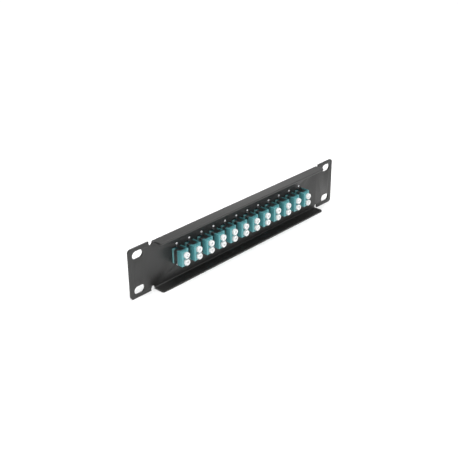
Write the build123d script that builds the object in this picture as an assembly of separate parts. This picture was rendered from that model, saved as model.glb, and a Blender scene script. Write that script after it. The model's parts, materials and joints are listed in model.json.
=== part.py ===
from build123d import *
import os

# Fibre patch panel for a 10-inch rack, one unit high, in millimetres.
# The origin is the centre of the slot pattern on the plate's lip-side face.
# +X runs along the panel and +Z is up. The lips and the capped ports that
# face the cabinet reach towards -Y, and the other ports towards +Y.

# Folded steel panel
plate_width = 254.0
plate_height = 44.0
plate_corner = 3.0
sheet = 1.5
ear_width = 25.0
lip_reach = 10.0
lip_corner = 1.8
bend_inner_radius = 0.8
notch_width = 4.0
notch_depth = 4.0
notch_flats = 8
rack_slot_from_end = 9.25
rack_slot_spacing_z = 31.0
rack_slot_length = 10.8
rack_slot_width = 6.9

# Row of duplex adapters
adapter_count = 12
adapter_pitch = 14.0
cutout_clearance = 0.15

# Adapter moulding
body_width = 9.8
body_height = 13.0
body_front = 12.6
flange_height = 23.4
flange_thickness = 1.8
flange_corner = 1.0
screw_spacing = 19.0
port_pitch = 6.25
port_offset = -0.4
port_size = 4.7
port_depth = 9.8
latch_slot_width = 2.6
latch_slot_depth = 1.5
latch_slot_reach = 7.5
hood_setback = 2.7
clip_seat_depth = 0.75
clip_seat_wall = 0.8
clip_seat_bank = 1.95
clip_seat_rim = 3.8
clip_shoulder = 1.6

# Spring clip round the adapter
clip_metal = 0.2
clip_web_width = 4.0
clip_leg_width = 5.5
clip_clearance = 0.05
clip_leg_short = 0.5
clip_tab_width = 3.4
clip_tab_height = 1.0
clip_tab_gap = 0.05

# Split ceramic sleeve in each bore
sleeve_length = 6.6
sleeve_bore = 1.25
sleeve_wall = 0.18
sleeve_slit = 0.3
sleeve_clearance = 0.05
sleeve_flats = 6

# Dust cap in each port
cap_diameter = 5.3
cap_head = 2.15
cap_dimple_diameter = 2.4
cap_dimple_depth = 1.0
cap_stem_length = 6.0
cap_stem_clearance = 0.08
cap_seat_gap = 0.02
cap_flats = 10
cap_stem_flats = 8
cap_dimple_flats = 6

# Adapter screws
screw_diameter = 2.0
screw_clearance = 0.05
screw_head_diameter = 3.8
screw_head_height = 1.3
screw_end = 0.5
flange_hole_clearance = 0.15
screw_flats = 6
screw_head_flats = 6

# Places worked out from the sizes above
lip_length = plate_width - 2 * ear_width
rack_slot_spacing_x = plate_width - 2 * rack_slot_from_end
flange_front = sheet
flange_middle = flange_front + flange_thickness / 2
near_face = flange_middle - flange_thickness / 2 - body_front
far_face = flange_middle + flange_thickness / 2 + body_front
adapter_places = [(i - (adapter_count - 1) / 2) * adapter_pitch for i in range(adapter_count)]
port_heights = [port_pitch / 2, -port_pitch / 2]
screw_heights = [screw_spacing / 2, -screw_spacing / 2]
rows = {"upper": port_heights[0], "lower": port_heights[1]}


def block(x_low, x_high, y_low, y_high, z_low, z_high):
    """A box between two corners."""
    centre = ((x_low + x_high) / 2, (y_low + y_high) / 2, (z_low + z_high) / 2)
    return Pos(*centre) * Box(x_high - x_low, y_high - y_low, z_high - z_low)


def along_y(sketch, y_low, y_high):
    """A flat outline drawn in X and Z, made solid from one depth to another."""
    upright = Plane(origin=(0, y_low, 0), x_dir=(1, 0, 0), z_dir=(0, -1, 0))
    return extrude(upright * sketch, amount=-(y_high - y_low))


def near_round(diameter, flats):
    """The outline of a small round piece, drawn with a few equal flats."""
    return RegularPolygon(diameter / 2, flats)


def rod(outline, y_low, y_high, x=0.0, z=0.0):
    """An outline about the axis, made a rod that lies along Y."""
    return along_y(Pos(x, z) * outline, y_low, y_high)


def plate():
    """The flat sheet with its ears, relief notches and rack slots."""
    outline = RectangleRounded(plate_width, plate_height, plate_corner)
    bend_outer_radius = bend_inner_radius + sheet
    folded_edge = plate_height / 2 - bend_outer_radius
    notch_centre = lip_length / 2 + notch_width / 2
    for side in (1, -1):
        strip = Rectangle(lip_length, bend_outer_radius)
        outline -= Pos(0, side * (folded_edge + bend_outer_radius / 2)) * strip
        for end in (1, -1):
            straight = notch_depth - notch_width / 2
            mouth = Rectangle(notch_width, straight)
            root = near_round(notch_width, notch_flats)
            edge = plate_height / 2
            outline -= Pos(end * notch_centre, side * (edge - straight / 2)) * mouth
            outline -= Pos(end * notch_centre, side * (edge - straight)) * root
    slots = GridLocations(rack_slot_spacing_x, rack_slot_spacing_z, 2, 2)
    outline -= slots * SlotOverall(rack_slot_length, rack_slot_width)
    return along_y(outline, 0, sheet)


def lip(side):
    """One folded lip with its bend, above (side 1) or below (side -1)."""
    outer = bend_inner_radius + sheet
    edge = plate_height / 2
    path_outer = [(sheet, edge - outer), (sheet, edge), (-lip_reach, edge)]
    path_inner = [(-lip_reach, edge - sheet), (0, edge - sheet), (0, edge - outer)]
    section = make_face(Polyline(*path_outer, *path_inner, close=True))
    corners = section.vertices()
    section = fillet(corners.sort_by_distance(Vector(sheet, edge))[0], outer)
    corners = section.vertices()
    section = fillet(corners.sort_by_distance(Vector(0, edge - sheet))[0], bend_inner_radius)
    across = Plane(origin=(-lip_length / 2, 0, 0), x_dir=(0, 1, 0), z_dir=(1, 0, 0))
    solid = extrude(across * section, amount=lip_length)
    uprights = solid.edges().filter_by(Axis.Z).group_by(Axis.Y)[0]
    solid = fillet(uprights, lip_corner)
    return solid if side > 0 else mirror(solid, about=Plane.XY)


def panel():
    """The folded panel: plate, two lips, adapter cut-outs and screw holes."""
    solid = plate() + lip(1) + lip(-1)
    wide = body_width + 2 * cutout_clearance
    high = body_height + 2 * cutout_clearance
    screw_hole = near_round(screw_diameter + 2 * screw_clearance, screw_flats)
    openings = Sketch()
    for x in adapter_places:
        openings += Pos(x, 0) * Rectangle(wide, high)
        for z in screw_heights:
            openings += Pos(x, z) * screw_hole
    return solid - along_y(openings, 0, sheet)


def port(y_face, inward, z):
    """The space of one port: a square socket with a latch slot beside it."""
    low, high = sorted((y_face, y_face + inward * port_depth))
    half = port_size / 2
    space = block(port_offset - half, port_offset + half, low, high, z - half, z + half)
    low, high = sorted((y_face, y_face + inward * latch_slot_reach))
    edge = port_offset + half
    half = latch_slot_width / 2
    return space + block(edge, edge + latch_slot_depth, low, high, z - half, z + half)


def clip_seat():
    """The space that the spring clip lies in: round one side, and over both ends."""
    side = body_width / 2
    top = body_height / 2
    floor = top - clip_seat_depth
    back = -clip_shoulder
    front = back - clip_web_width - 2 * clip_clearance
    groove = clip_metal + clip_clearance
    space = block(-side, groove - side, front, back, -top, top)
    for low, high in ((floor, top), (-top, -floor)):
        space += block(-side, clip_seat_bank - side, front, back, low, high)
        rim = near_face + clip_seat_rim
        space += block(clip_seat_bank - side, side - clip_seat_wall, rim, flange_front, low, high)
    return space


def adapter():
    """One duplex adapter moulding about x = 0."""
    solid = along_y(Rectangle(body_width, body_height), near_face, far_face)
    flange = Rectangle(body_width, flange_height)
    flange = chamfer(flange.vertices(), flange_corner)
    screw_hole = near_round(screw_diameter + 2 * flange_hole_clearance, screw_flats)
    for z in screw_heights:
        flange -= Pos(0, z) * screw_hole
    solid += along_y(flange, flange_front, flange_front + flange_thickness)
    solid -= clip_seat()
    side = body_width / 2
    top = body_height / 2
    socket_edge = port_offset + port_size / 2
    for face, inward in ((near_face, 1), (far_face, -1)):
        low, high = sorted((face, face + inward * hood_setback))
        solid -= block(socket_edge, side, low, high, -top, top)
        for z in port_heights:
            solid -= port(face, inward, z)
    bore = near_round(sleeve_bore + 2 * (sleeve_wall + sleeve_clearance), sleeve_flats)
    for z in port_heights:
        solid -= rod(bore, near_face + port_depth, far_face - port_depth, port_offset, z)
    return solid


def clip():
    """The U-shaped spring strap: a web, two wider legs and a sprung tab cut free in each leg."""
    side = body_width / 2
    top = body_height / 2 - clip_seat_depth + clip_clearance + clip_metal
    end = side - clip_seat_wall - clip_leg_short
    back = -clip_shoulder - clip_clearance
    front = back - clip_web_width
    solid = block(-side, end, front, back, -top, top)
    solid -= block(clip_metal - side, end, front, back, clip_metal - top, top - clip_metal)
    start = clip_seat_bank + clip_clearance - side
    middle = (start + end) / 2
    root = back - clip_leg_width / 2
    tip = -clip_tab_gap
    lift = body_height / 2 + cutout_clearance + clip_tab_height - top
    half = clip_tab_width / 2
    for way in (1, -1):
        low, high = sorted((way * top, way * (top - clip_metal)))
        solid += block(start, end, back - clip_leg_width, front, low, high)
        solid -= block(middle - half, middle + half, root, back, low, high)
        line = [(root, way * top), (tip, way * (top + lift))]
        line += [(tip, way * (top + lift - clip_metal)), (root, way * (top - clip_metal))]
        across = Plane(origin=(middle - half, 0, 0), x_dir=(0, 1, 0), z_dir=(1, 0, 0))
        solid += extrude(across * make_face(Polyline(*line, close=True)), amount=clip_tab_width)
    return solid


def dust_cap(face, outward, z):
    """A push-in cap: a round head, and a round stem that fills the square socket's width."""
    seat = face + outward * cap_seat_gap
    low, high = sorted((seat, seat + outward * cap_head))
    head = rod(near_round(cap_diameter, cap_flats), low, high, port_offset, z)
    stem_diameter = port_size - 2 * cap_stem_clearance
    low, high = sorted((seat, seat - outward * cap_stem_length))
    return head + rod(near_round(stem_diameter, cap_stem_flats), low, high, port_offset, z)


def dimpled_cap(z):
    """A cap of the lips' side, with the dimple moulded in its head."""
    front = near_face - cap_seat_gap - cap_head
    outline = near_round(cap_dimple_diameter, cap_dimple_flats)
    dimple = rod(outline, front, front + cap_dimple_depth, port_offset, z)
    return dust_cap(near_face, -1, z) - dimple


def sleeve(x, z):
    """A split ceramic sleeve in the adapter's bore."""
    outer = near_round(sleeve_bore + 2 * sleeve_wall, sleeve_flats)
    ring = outer - near_round(sleeve_bore, sleeve_flats)
    ring -= Pos(sleeve_bore / 2 + sleeve_wall / 2, 0) * Rectangle(2 * sleeve_wall, sleeve_slit)
    low = flange_middle - sleeve_length / 2
    return along_y(Pos(x + port_offset, z) * ring, low, low + sleeve_length)


def screw(x, z):
    """A pan-head screw through the flange into the tapped plate."""
    seat = flange_front + flange_thickness
    shank = rod(near_round(screw_diameter, screw_flats), -screw_end, seat, x, z)
    head = near_round(screw_head_diameter, screw_head_flats)
    return shank + rod(head, seat, seat + screw_head_height, x, z)


def save(shape, name):
    export_step(shape, "parts/" + name + ".step")


os.makedirs("parts", exist_ok=True)
save(panel(), "panel")
moulding = adapter()
spring = clip()
near_caps = {row: dimpled_cap(z) for row, z in rows.items()}
far_caps = [dust_cap(far_face, 1, z) for z in port_heights]
for number, x in enumerate(adapter_places, start=1):
    place = "_" + str(number).zfill(2)
    save(Pos(x, 0, 0) * moulding, "adapter" + place)
    save(Pos(x, 0, 0) * spring, "spring_clip" + place)
    for row, cap in near_caps.items():
        save(Pos(x, 0, 0) * cap, "dust_cap_" + row + place)
save(Compound([Pos(x, 0, 0) * cap for x in adapter_places for cap in far_caps]), "far_dust_caps")
save(Compound([sleeve(x, z) for x in adapter_places for z in port_heights]), "split_sleeves")
save(Compound([screw(x, z) for x in adapter_places for z in screw_heights]), "adapter_screws")
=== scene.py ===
# %% [markdown]
# # A fibre patch panel in a photo studio
#
# The object is a folded steel panel for a small rack. Twelve plastic adapters
# stand in a row through it, and every adapter port is closed by a white cap.
# The solid model gives each piece its size, place and motion. This script
# gives the pieces their edges and finishes, and sets up light and camera.
#
# All lengths are in metres, as the model has them. Small sizes are written
# in millimetres and multiplied by `MM`, because that is how a maker reads them.

# %% Load the model
import json
import math

import bmesh
import bpy
from mathutils import Matrix, Vector

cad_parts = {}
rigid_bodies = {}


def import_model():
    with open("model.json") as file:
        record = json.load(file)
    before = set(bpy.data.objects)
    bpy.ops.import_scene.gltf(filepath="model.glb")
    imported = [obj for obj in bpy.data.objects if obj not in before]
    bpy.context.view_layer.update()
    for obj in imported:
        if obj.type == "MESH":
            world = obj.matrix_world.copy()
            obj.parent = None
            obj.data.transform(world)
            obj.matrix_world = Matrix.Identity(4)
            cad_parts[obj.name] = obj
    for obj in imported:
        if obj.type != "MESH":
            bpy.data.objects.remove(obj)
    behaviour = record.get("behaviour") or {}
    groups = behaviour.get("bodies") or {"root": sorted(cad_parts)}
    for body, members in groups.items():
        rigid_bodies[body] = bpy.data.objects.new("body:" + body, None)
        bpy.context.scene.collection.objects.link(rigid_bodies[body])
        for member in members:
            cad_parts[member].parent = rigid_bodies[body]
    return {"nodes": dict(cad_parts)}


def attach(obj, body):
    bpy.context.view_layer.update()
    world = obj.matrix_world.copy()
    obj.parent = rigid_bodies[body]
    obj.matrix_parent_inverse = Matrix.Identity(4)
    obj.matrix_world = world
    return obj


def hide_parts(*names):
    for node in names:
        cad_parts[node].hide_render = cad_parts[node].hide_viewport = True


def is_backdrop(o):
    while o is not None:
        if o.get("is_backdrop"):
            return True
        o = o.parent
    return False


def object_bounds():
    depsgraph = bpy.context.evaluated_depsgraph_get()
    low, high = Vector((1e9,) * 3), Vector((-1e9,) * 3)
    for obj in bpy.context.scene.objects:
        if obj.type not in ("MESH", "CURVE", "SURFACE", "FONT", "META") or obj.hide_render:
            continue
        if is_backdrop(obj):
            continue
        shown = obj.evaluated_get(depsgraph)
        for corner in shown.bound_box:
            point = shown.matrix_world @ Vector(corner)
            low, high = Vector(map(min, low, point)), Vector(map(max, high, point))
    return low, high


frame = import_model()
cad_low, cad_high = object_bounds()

MM = 0.001
nodes = frame["nodes"]
print("nodes:", len(nodes), "size in mm:", [round(v / MM, 2) for v in cad_high - cad_low])

# %% [markdown]
# ## Camera
#
# The panel's corners and slots in the photograph fix where the camera stood.
# A long lens some way off keeps the two ends of the panel nearly the same
# size. With a short lens close by, the near ear would swell and the far end
# would shrink, and the row of adapters would no longer look evenly spaced.

# %% Place the camera
CAMERA_PLACE = Vector((-0.47392, -0.44147, 0.31843))
CAMERA_RIGHT = Vector((0.6900, -0.7238, -0.0113))
CAMERA_UP = Vector((0.3312, 0.3018, 0.8940))
SENSOR_WIDTH = 36.0
LENS = 65.34
NEAREST_SEEN = 0.01
FARTHEST_SEEN = 20.0

view_right = CAMERA_RIGHT.normalized()
view_up = (CAMERA_UP - CAMERA_UP.dot(view_right) * view_right).normalized()
view_back = view_right.cross(view_up)
turn = Matrix((view_right, view_up, view_back)).transposed()
camera_data = bpy.data.cameras.new("camera")
camera_data.sensor_width = SENSOR_WIDTH
camera_data.lens = LENS
camera_data.clip_start = NEAREST_SEEN
camera_data.clip_end = FARTHEST_SEEN
camera = bpy.data.objects.new("camera", camera_data)
camera.matrix_world = Matrix.Translation(CAMERA_PLACE) @ turn.to_4x4()
bpy.context.scene.collection.objects.link(camera)
bpy.context.scene.camera = camera
print("camera looks along", [round(v, 3) for v in -view_back])

# %% [markdown]
# ## Materials
#
# A material is a small graph of shader nodes. Every surface here is one
# principled shader. What tells the surfaces apart is a few measured values:
# colour, roughness, how strongly the surface bends light, and a fine grain
# that tilts the surface a little. The grain's spacing and height are sizes in
# millimetres. In a light as soft as this one, a grain of true height would not
# show even close by, so the coat, the adapters and the caps have it higher.
#
# Colours are written as the hex values of a colour picker. Those are encoded
# for a screen, so one function turns them into the linear light that a shader
# works with.

# %% Helpers for materials
def linear(hex_colour):
    """Turns an sRGB hex colour into the linear colour that a shader takes."""
    parts = [int(hex_colour[i : i + 2], 16) / 255 for i in (1, 3, 5)]
    return [c / 12.92 if c <= 0.04045 else ((c + 0.055) / 1.055) ** 2.4 for c in parts] + [1.0]


def add_node(tree, kind, settings=None, values=None, links=None):
    """Adds one shader node with its settings, its socket values and what feeds its sockets."""
    made = tree.nodes.new(kind)
    for name, value in (settings or {}).items():
        setattr(made, name, value)
    for socket, value in (values or {}).items():
        made.inputs[socket].default_value = value
    for socket, source in (links or {}).items():
        tree.links.new(source, made.inputs[socket])
    return made


def new_material(name):
    """An empty material and its node tree."""
    material = bpy.data.materials.new(name)
    material.use_nodes = True
    material.node_tree.nodes.clear()
    return material, material.node_tree


def grain(tree, spacing, height, stretch=(1.0, 1.0, 1.0)):
    """A bump of small random hills, with their real spacing and height."""
    place = add_node(tree, "ShaderNodeTexCoord")
    scaled = add_node(
        tree,
        "ShaderNodeMapping",
        values={"Scale": stretch},
        links={"Vector": place.outputs["Object"]},
    )
    hills = add_node(
        tree,
        "ShaderNodeTexNoise",
        values={"Scale": 1 / spacing, "Detail": 2.0},
        links={"Vector": scaled.outputs["Vector"]},
    )
    return add_node(
        tree,
        "ShaderNodeBump",
        values={"Strength": 1.0, "Distance": height},
        links={"Height": hills.outputs["Fac"]},
    )


def surface(tree, values, bump=None, links=None):
    """Ends a material with a principled shader, with a bump and other links if there are any."""
    links = dict(links or {})
    if bump:
        links["Normal"] = bump.outputs["Normal"]
    shader = add_node(tree, "ShaderNodeBsdfPrincipled", values=values, links=links)
    add_node(tree, "ShaderNodeOutputMaterial", links={"Surface": shader.outputs["BSDF"]})


# %% [markdown]
# ## Floor and light
#
# In the photograph the ground is white all over, with hardly a shadow on it. A
# studio gets that from a broad sheet of white opal acrylic and large lamps on
# all sides, because each lamp fills the others' shadows. The white ground and
# the white room matter for the panel too. Black powder coat is so dark that
# most of what the eye sees on it is gloss, the reflection of the room, and so
# its faces look grey and not black.
#
# The lamps then give the faces different brightness, so that the folds read.
# The strongest hangs overhead and lights the lips and the tops of the
# adapters. One at the left lights the adapters' sides. A weak one in front
# lifts the adapters' faces, the caps and the screw ends. The largest stands
# behind: the upper lip mirrors it at a flat angle, so it shows lighter than
# the lower lip, which lies in the shade of everything above it.

# %% Build the studio
FLOOR_SIZE = 20.0
WORLD_STRENGTH = 0.57


def aim(thing, target):
    """Turns a lamp so that it looks at a point."""
    thing.rotation_euler = (target - thing.location).to_track_quat("-Z", "Y").to_euler()


def soft_lamp(name, place, target, size, power):
    """A square area lamp."""
    data = bpy.data.lights.new(name, "AREA")
    data.shape = "SQUARE"
    data.size = size
    data.energy = power
    lamp = bpy.data.objects.new(name, data)
    lamp.location = place
    aim(lamp, target)
    bpy.context.scene.collection.objects.link(lamp)
    return lamp


world = bpy.data.worlds.new("studio")
world.use_nodes = True
background = world.node_tree.nodes["Background"]
background.inputs["Color"].default_value = linear("#FFFFFF")
background.inputs["Strength"].default_value = WORLD_STRENGTH
bpy.context.scene.world = world
bpy.context.scene.view_settings.view_transform = "Standard"

opal_acrylic, tree = new_material("opal_acrylic")
surface(tree, {"Base Color": linear("#FAFAFA"), "Roughness": 0.7, "IOR": 1.49})
floor_mesh = bpy.data.meshes.new("studio_floor")
half = FLOOR_SIZE / 2
corners = [(-half, -half, 0), (half, -half, 0), (half, half, 0), (-half, half, 0)]
floor_mesh.from_pydata(corners, [], [(0, 1, 2, 3)])
floor_mesh.materials.append(opal_acrylic)
floor = bpy.data.objects.new("studio_floor", floor_mesh)
floor.location.z = cad_low.z
bpy.context.scene.collection.objects.link(floor)
floor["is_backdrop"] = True

middle = (cad_low + cad_high) / 2
soft_lamp("overhead_softbox", Vector((0.0, -0.2, 1.4)), middle, 1.2, 19.0)
soft_lamp("left_softbox", Vector((-1.3, -0.4, 0.6)), middle, 1.5, 8.0)
soft_lamp("front_softbox", Vector((0.3, -1.4, 0.7)), middle, 1.2, 4.6)
soft_lamp("back_softbox", Vector((0.9, 1.5, 1.0)), middle, 1.6, 6.5)

# %% [markdown]
# ## Edges
#
# No sheet, moulding or stamping has a knife edge. A bent and coated sheet has
# edges rounded by the coating, and a moulding has them rounded by its tool.
# The solid's own faces are kept: its mesh is copied, the triangles that lie
# in one plane are joined, and a narrow bevel is run along what is left.
# A bevel modifier does this evenly, and its normals keep the flats flat.
#
# Each new piece rides on the body of the solid that it stands for, so it
# moves when that body moves, and the solid itself is no longer shown.

# %% Copy a solid with rounded edges
FLAT_ANGLE = math.radians(1.0)
EDGE_ANGLE = math.radians(35.0)
JOIN_DISTANCE = 0.001 * MM


def put_in_place(piece_name, mesh, material, node_name):
    """Makes a mesh the shown piece for a CAD node, with its material and motion."""
    mesh.materials.clear()
    mesh.materials.append(material)
    for face in mesh.polygons:
        face.use_smooth = True
        face.material_index = 0
    piece = bpy.data.objects.new(piece_name, mesh)
    bpy.context.scene.collection.objects.link(piece)
    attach(piece, nodes[node_name].parent.name.removeprefix("body:"))
    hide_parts(node_name)
    return piece


def solid_skin(node_name):
    """A node's solids as an editable mesh, with one face for each flat."""
    work = bmesh.new()
    work.from_mesh(nodes[node_name].data)
    bmesh.ops.remove_doubles(work, verts=work.verts, dist=JOIN_DISTANCE)
    bmesh.ops.dissolve_limit(work, angle_limit=FLAT_ANGLE, verts=work.verts, edges=work.edges)
    return work


def rounded_copy(node_name, piece_name, edge, material, segments=2):
    """A copy of a CAD node with its sharp edges rounded to a width, standing for the node."""
    work = solid_skin(node_name)
    mesh = bpy.data.meshes.new(piece_name)
    work.to_mesh(mesh)
    work.free()
    piece = put_in_place(piece_name, mesh, material, node_name)
    bevel = piece.modifiers.new("rounded_edges", "BEVEL")
    bevel.width = edge
    bevel.segments = segments
    bevel.limit_method = "ANGLE"
    bevel.angle_limit = EDGE_ANGLE
    bevel.harden_normals = True
    return piece


# %% [markdown]
# ## Powder-coated steel
#
# The panel is mild steel. It is cut flat by laser or punch, folded twice in a
# press brake, sprayed with dry polyester powder and baked. The relief notches
# at the ends of each fold let the lips bend without tearing the ears.
# The melted powder levels into a satin skin with a fine orange peel. Its
# colour is close to black, so the peel shows only in how it scatters the gloss.
# A real peel is one to three hundredths of a millimetre high. It is drawn at
# seven, so that it shows in a close view.
# The coating is about a tenth of a millimetre thick and draws back from sharp
# edges, so an edge radius of a quarter of a millimetre is what it leaves.

# %% Coat the panel
PEEL_SPACING = 0.8 * MM
PEEL_HEIGHT = 0.07 * MM
PANEL_EDGE = 0.25 * MM

powder_coated_steel, tree = new_material("powder_coated_steel")
peel = grain(tree, PEEL_SPACING, PEEL_HEIGHT)
surface(tree, {"Base Color": linear("#171716"), "Roughness": 0.42, "IOR": 1.54}, peel)
panel = rounded_copy("panel", "coated_panel", PANEL_EDGE, powder_coated_steel)
print("panel faces:", len(panel.data.polygons))

# %% [markdown]
# ## Adapter mouldings
#
# The adapters are moulded in PBT, dyed in the blue-green that marks them for
# a fast kind of multimode fibre. PBT comes out of the tool with a low satin
# gloss, and its edges carry the small radius of the cutter that made the tool.
#
# A real adapter is two half shells, welded together by ultrasound once the
# sleeves lie between them. The weld shows as a fine line round the middle of
# the flange. It is too small to model, so the material draws it: wherever the
# depth is within a few hundredths of a millimetre of the joint, the surface
# sinks a little.
#
# The shoulder of each adapter, the narrow band that stands against the sheet,
# is painted paler and greyer than the rest. That is painted light: the paler
# colour stands in for the brighter light seen on that band. The band's
# roughness is the same as the rest of the moulding.

# %% Mould the adapters
ADAPTER_EDGE = 0.15 * MM
FLANGE_MIDDLE = 2.4 * MM
TOOL_MARK_SPACING = 0.25 * MM
TOOL_MARK_HEIGHT = 0.02 * MM
WELD_WIDTH = 0.12 * MM
WELD_DEPTH = 0.05 * MM
# The band beside the sheet where the adapters' colour is painted paler: painted light, with the same
# roughness as the rest.
PAINTED_LIGHT_BAND = (-1.7 * MM, 0.0)
# A mix node has a set of sockets for each kind of value. These are its colour sockets.
MIX_FIRST, MIX_SECOND, MIX_RESULT = 6, 7, 2


def depth_into_panel(tree):
    """The distance along Y, from the sheet's face, as a shader value."""
    place = add_node(tree, "ShaderNodeTexCoord")
    parts = add_node(tree, "ShaderNodeSeparateXYZ", links={"Vector": place.outputs["Object"]})
    return parts.outputs["Y"]


def weld_line(tree, depth, bump):
    """Adds a groove round every adapter at the depth where its two shells meet."""
    away = add_node(
        tree,
        "ShaderNodeMath",
        settings={"operation": "SUBTRACT"},
        values={1: FLANGE_MIDDLE},
        links={0: depth},
    )
    distance = add_node(
        tree, "ShaderNodeMath", settings={"operation": "ABSOLUTE"}, links={0: away.outputs[0]}
    )
    ramp = add_node(
        tree,
        "ShaderNodeMapRange",
        settings={"interpolation_type": "SMOOTHSTEP"},
        values={"From Min": 0.0, "From Max": WELD_WIDTH / 2},
        links={"Value": distance.outputs[0]},
    )
    return add_node(
        tree,
        "ShaderNodeBump",
        values={"Strength": 1.0, "Distance": WELD_DEPTH},
        links={"Height": ramp.outputs["Result"], "Normal": bump.outputs["Normal"]},
    )


def painted_light_band(tree, depth, own_colour, painted_paler):
    """The adapters' own colour outside the band beside the sheet, and a paler colour painted inside it
    as painted light.
    """
    near, far = PAINTED_LIGHT_BAND
    inside = add_node(
        tree,
        "ShaderNodeMath",
        settings={"operation": "COMPARE"},
        values={1: (near + far) / 2, 2: (far - near) / 2},
        links={0: depth},
    )
    mix = add_node(
        tree,
        "ShaderNodeMix",
        settings={"data_type": "RGBA"},
        values={MIX_FIRST: linear(own_colour), MIX_SECOND: linear(painted_paler)},
        links={0: inside.outputs[0]},
    )
    return mix.outputs[MIX_RESULT]


dyed_pbt, tree = new_material("dyed_pbt")
depth = depth_into_panel(tree)
tool_marks = grain(tree, TOOL_MARK_SPACING, TOOL_MARK_HEIGHT)
surface(
    tree,
    {"Roughness": 0.38, "IOR": 1.55},
    weld_line(tree, depth, tool_marks),
    # Painted light: the base colour is painted paler in the band beside the sheet.
    {"Base Color": painted_light_band(tree, depth, "#56969B", "#73AAAD")},
)
adapter_names = sorted(n for n in nodes if n.startswith("adapter_") and n != "adapter_screws")
for name in adapter_names:
    rounded_copy(name, name + "_moulding", ADAPTER_EDGE, dyed_pbt)
print("adapters:", len(adapter_names))

# %% [markdown]
# ## Spring clips
#
# A strip of stainless spring steel is bent round each adapter. A tongue in
# each leg springs outwards behind the sheet and holds the adapter in its
# cut-out. Rolled strip is bright, with fine lines along the rolling direction,
# which runs round the adapter. It looks nearly black here only because it
# mirrors the black plate beside it.

# %% Bend the clips
CLIP_EDGE = 0.05 * MM
LINE_SPACING = 0.05 * MM
LINE_HEIGHT = 0.0006 * MM
LINE_STRETCH = (0.1, 1.0, 0.1)

spring_steel, tree = new_material("stainless_spring_steel")
rolling_lines = grain(tree, LINE_SPACING, LINE_HEIGHT, LINE_STRETCH)
surface(tree, {"Base Color": linear("#A2A4A6"), "Metallic": 1.0, "Roughness": 0.3}, rolling_lines)
clip_names = sorted(n for n in nodes if n.startswith("spring_clip_"))
for name in clip_names:
    rounded_copy(name, name + "_strip", CLIP_EDGE, spring_steel)
print("clips:", len(clip_names))

# %% [markdown]
# ## Round pieces from rings
#
# Caps, screws and sleeves are small round pieces, and the solids have them
# with few flats, because hundreds of round faces would make the model heavy.
# Here they get their true shape. A round piece is a stack of rings: each ring
# has a radius for every step of the turn and a depth, and a skin joins each
# ring to the next. A ring need not be a circle. A cross recess in a screw head
# is a ring whose radius is long on four arms and short between them.
#
# Where each piece goes is not written again: the solids already say it. The
# separate solids of a node are found by walking from face to face, and the
# box round each of them gives its axis and its two ends.

# %% Build round pieces
TURN_STEPS = 40
CREASE_ANGLE = math.radians(50.0)
SMALLEST_SINE = 0.01


def solid_boxes(node_name):
    """The lowest and highest corner of every separate solid in a node."""
    work = solid_skin(node_name)
    left = set(work.verts)
    boxes = []
    while left:
        group = {left.pop()}
        to_visit = list(group)
        while to_visit:
            vertex = to_visit.pop()
            for edge in vertex.link_edges:
                other = edge.other_vert(vertex)
                if other in left:
                    left.remove(other)
                    group.add(other)
                    to_visit.append(other)
        columns = list(zip(*(tuple(v.co) for v in group)))
        boxes.append((Vector(map(min, columns)), Vector(map(max, columns))))
    work.free()
    return sorted(boxes, key=lambda box: tuple(box[0]))


def circle(diameter):
    """The radii of a round ring."""
    return [diameter / 2] * TURN_STEPS


def cross(length, width):
    """The radii of a ring in the shape of a cross recess."""
    radii = []
    for step in range(TURN_STEPS):
        angle = (2 * math.pi * step / TURN_STEPS + math.pi / 4) % (math.pi / 2) - math.pi / 4
        arm = length / 2 / math.cos(angle)
        flank = width / 2 / max(abs(math.sin(angle)), SMALLEST_SINE)
        radii.append(min(arm, flank))
    return radii


def add_rings(work, axis, rings):
    """Adds a closed skin through rings about an axis along Y. Each ring has its radii and its depth."""
    loops = []
    for radii, depth in rings:
        loop = []
        for step, radius in enumerate(radii):
            angle = 2 * math.pi * step / TURN_STEPS
            x = axis.x + radius * math.cos(angle)
            z = axis.z + radius * math.sin(angle)
            loop.append(work.verts.new((x, depth, z)))
        loops.append(loop)
    for first, second in zip(loops, loops[1:]):
        for step in range(TURN_STEPS):
            after = (step + 1) % TURN_STEPS
            work.faces.new((first[step], first[after], second[after], second[step]))
    work.faces.new(loops[0])
    work.faces.new(loops[-1])


def round_piece(work, piece_name, material, node_name):
    """Turns an editable mesh of round solids into the shown piece for a CAD node."""
    bmesh.ops.recalc_face_normals(work, faces=work.faces)
    mesh = bpy.data.meshes.new(piece_name)
    work.to_mesh(mesh)
    work.free()
    piece = put_in_place(piece_name, mesh, material, node_name)
    mesh.set_sharp_from_angle(angle=CREASE_ANGLE)
    flats = piece.modifiers.new("flats_stay_flat", "WEIGHTED_NORMAL")
    flats.keep_sharp = True
    return piece


# %% [markdown]
# ## Dust caps
#
# A dust cap is one shot of soft white polyethylene. Its round stem fills the
# width of the square socket, so the corners of the socket stay open round it
# and look dark. The stem is hollow, to leave room for the sleeve inside the
# port. The head has a dimple where the plastic entered the mould, with the
# snipped gate standing in it as a small pip.
#
# Polyethylene is cloudy, not opaque: light enters it and comes out again a
# little way off. That softens the shading, so the caps look even and white.

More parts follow.
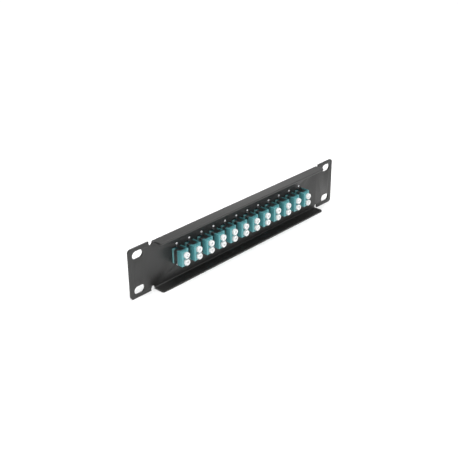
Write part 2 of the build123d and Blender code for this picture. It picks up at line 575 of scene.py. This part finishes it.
# %% Mould the dust caps
# Diameter and depth from the head's front, both in millimetres, from the pip
# in the dimple over the head and along the stem to the bottom of its hollow.
CAP_PROFILE = (
    (0.36, 0.86),
    (0.50, 0.90),
    (0.56, 0.98),
    (1.70, 1.00),
    (2.00, 0.95),
    (2.14, 0.80),
    (2.26, 0.22),
    (2.40, 0.06),
    (2.62, 0.00),
    (4.50, 0.00),
    (4.86, 0.04),
    (5.08, 0.16),
    (5.20, 0.34),
    (5.26, 0.60),
    (5.28, 1.90),
    (5.20, 2.06),
    (5.04, 2.14),
    (4.88, 2.15),
    (4.60, 2.15),
    (4.52, 2.20),
    (4.50, 7.50),
    (4.34, 7.90),
    (4.00, 8.15),
    (3.30, 8.15),
    (3.20, 8.08),
    (3.10, 3.50),
)

CLOUD_DEPTH = 1.2 * MM
SATIN_SPACING = 0.3 * MM
SATIN_HEIGHT = 0.02 * MM

white_polyethylene, tree = new_material("white_polyethylene")
satin = grain(tree, SATIN_SPACING, SATIN_HEIGHT)
cloud = {"Subsurface Weight": 0.4, "Subsurface Radius": [CLOUD_DEPTH] * 3}
surface(
    tree,
    {"Base Color": linear("#DCDDDD"), "Roughness": 0.45, "IOR": 1.51, **cloud},
    satin,
)


def add_cap(work, box, front, inward):
    """One dust cap, from its dimple round to the bottom of its hollow stem."""
    axis = (box[0] + box[1]) / 2
    rings = [(circle(wide * MM), front + inward * deep * MM) for wide, deep in CAP_PROFILE]
    add_rings(work, axis, rings)


cap_names = sorted(n for n in nodes if n.startswith("dust_cap_"))
for name in cap_names:
    work = bmesh.new()
    cap_box = solid_boxes(name)[0]
    add_cap(work, cap_box, cap_box[0].y, 1)
    round_piece(work, name + "_moulding", white_polyethylene, name)

work = bmesh.new()
far_boxes = solid_boxes("far_dust_caps")
for cap_box in far_boxes:
    add_cap(work, cap_box, cap_box[1].y, -1)
round_piece(work, "far_dust_cap_mouldings", white_polyethylene, "far_dust_caps")
print("caps on the lips' side:", len(cap_names), "and on the other side:", len(far_boxes))

# %% [markdown]
# ## Screws
#
# Each adapter's flange is held by two pan-head machine screws, two millimetres
# thick, with a cross recess. They are tapped into the sheet, and their ends
# stand half a millimetre out of it, each with a rounded point: those are the
# bright dots above the adapters in the photograph. The plating is white zinc,
# which is silvery but not a mirror.
#
# A thread is a ridge that climbs by one pitch in each turn. Only its last
# turns lie near the screw's end, so only those are made. The ridge is a closed
# bar with a section of four corners. Its foot lies inside the screw's core,
# and it sinks into the core at both ends, as a cut thread runs out.

# %% Turn the screws
# Each ring's shape, with its depth from the head's top in millimetres.
SCREW_HEAD = (
    (cross(0.7 * MM, 0.25 * MM), 0.85),
    (cross(1.5 * MM, 0.40 * MM), 0.55),
    (cross(2.1 * MM, 0.46 * MM), 0.01),
    (circle(2.5 * MM), 0.00),
    (circle(3.0 * MM), 0.07),
    (circle(3.4 * MM), 0.22),
    (circle(3.66 * MM), 0.46),
    (circle(3.78 * MM), 0.80),
    (circle(3.80 * MM), 1.20),
    (circle(3.70 * MM), 1.30),
    (circle(2.10 * MM), 1.30),
    (circle(2.00 * MM), 1.36),
    (circle(2.00 * MM), 2.90),
    (circle(1.84 * MM), 3.00),
)
# Diameter and depth from the screw's end, both in millimetres.
SCREW_TIP = ((1.98, 0.42), (1.90, 0.26), (1.66, 0.12), (1.20, 0.03), (0.60, 0.0))
THREAD_PITCH = 0.4 * MM
THREAD_FOOT = 0.80 * MM
THREAD_ROOT = 0.88 * MM
THREAD_CREST = 1.0 * MM
THREAD_TURNS = 3.0
# How far the thread starts from the screw's end, and half the widths of its
# ridge at the foot and at the top, all three as parts of the pitch.
THREAD_START = 1.2
RIDGE_FOOT = 0.46
RIDGE_TOP = 0.06
PLATING_SPACING = 0.08 * MM
PLATING_HEIGHT = 0.0006 * MM

white_zinc, tree = new_material("white_zinc_plate")
plating = grain(tree, PLATING_SPACING, PLATING_HEIGHT)
surface(tree, {"Base Color": linear("#F0F0F1"), "Metallic": 1.0, "Roughness": 0.62}, plating)


def add_thread(work, axis, start):
    """The last turns of a thread, climbing from its start at the screw's end."""
    steps = int(THREAD_TURNS * TURN_STEPS)
    before = None
    for step in range(steps + 1):
        angle = 2 * math.pi * step / TURN_STEPS
        depth = start + THREAD_PITCH * step / TURN_STEPS
        full = min(1.0, step / (TURN_STEPS / 2), (steps - step) / (TURN_STEPS / 2))
        crest = THREAD_ROOT + (THREAD_CREST - THREAD_ROOT) * full
        section = [(THREAD_FOOT, -RIDGE_FOOT), (crest, -RIDGE_TOP)]
        section += [(crest, RIDGE_TOP), (THREAD_FOOT, RIDGE_FOOT)]
        ridge = []
        for radius, shift in section:
            x = axis.x + radius * math.cos(angle)
            z = axis.z + radius * math.sin(angle)
            ridge.append(work.verts.new((x, depth + shift * THREAD_PITCH, z)))
        if before:
            for k in range(4):
                after = (k + 1) % 4
                work.faces.new((before[k], before[after], ridge[after], ridge[k]))
        else:
            work.faces.new(ridge)
        before = ridge
    work.faces.new(before)


work = bmesh.new()
screw_boxes = solid_boxes("adapter_screws")
for low, high in screw_boxes:
    axis = (low + high) / 2
    rings = [(radii, high.y - deep * MM) for radii, deep in SCREW_HEAD]
    rings += [(circle(wide * MM), low.y + deep * MM) for wide, deep in SCREW_TIP]
    add_rings(work, axis, rings)
    add_thread(work, axis, low.y + THREAD_START * THREAD_PITCH)
round_piece(work, "zinc_plated_screws", white_zinc, "adapter_screws")
print("screws:", len(screw_boxes))

# %% [markdown]
# ## Split sleeves
#
# Inside each pair of ports, two ferrules meet end to end in a ceramic sleeve.
# The sleeve is slit along its whole length, so that it grips both ferrules
# with the same slight spring. It is ground zirconia, white and very smooth.
# The slit faces the latch side, where the solid has it.

# %% Grind the sleeves
SLEEVE_INNER = 0.625 * MM
SLEEVE_OUTER = 0.805 * MM
SLEEVE_SLIT = 0.3 * MM

zirconia, tree = new_material("ground_zirconia")
surface(tree, {"Base Color": linear("#F2F0EA"), "Roughness": 0.12, "IOR": 2.15})


def add_sleeve(work, axis, start, end):
    """A tube with a slit along it."""
    gap = math.asin(SLEEVE_SLIT / 2 / SLEEVE_INNER)
    corners = [(SLEEVE_OUTER, start), (SLEEVE_OUTER, end), (SLEEVE_INNER, end), (SLEEVE_INNER, start)]
    sections = []
    for step in range(TURN_STEPS + 1):
        angle = gap + (2 * math.pi - 2 * gap) * step / TURN_STEPS
        section = []
        for radius, depth in corners:
            x = axis.x + radius * math.cos(angle)
            z = axis.z + radius * math.sin(angle)
            section.append(work.verts.new((x, depth, z)))
        sections.append(section)
    for first, second in zip(sections, sections[1:]):
        for k in range(4):
            after = (k + 1) % 4
            work.faces.new((first[k], first[after], second[after], second[k]))
    work.faces.new(sections[0])
    work.faces.new(sections[-1])


work = bmesh.new()
sleeve_boxes = solid_boxes("split_sleeves")
# A slit sleeve's box isn't centred on its axis, so the nearest cap's axis is used.
port_axes = [(box[0] + box[1]) / 2 for box in far_boxes]
for low, high in sleeve_boxes:
    centre = (low + high) / 2
    axis = min(port_axes, key=lambda place: (place.x - centre.x) ** 2 + (place.z - centre.z) ** 2)
    add_sleeve(work, axis, low.y, high.y)
round_piece(work, "zirconia_sleeves", zirconia, "split_sleeves")
print("sleeves:", len(sleeve_boxes))

# %% [markdown]
# ## Sizes
#
# Dressing a model must not change how large it is. The size of the solids
# and the size of what is shown are written side by side, to be compared.

# %% Write the sizes
low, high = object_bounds()
print("size in mm:", [round(v / MM, 2) for v in high - low])
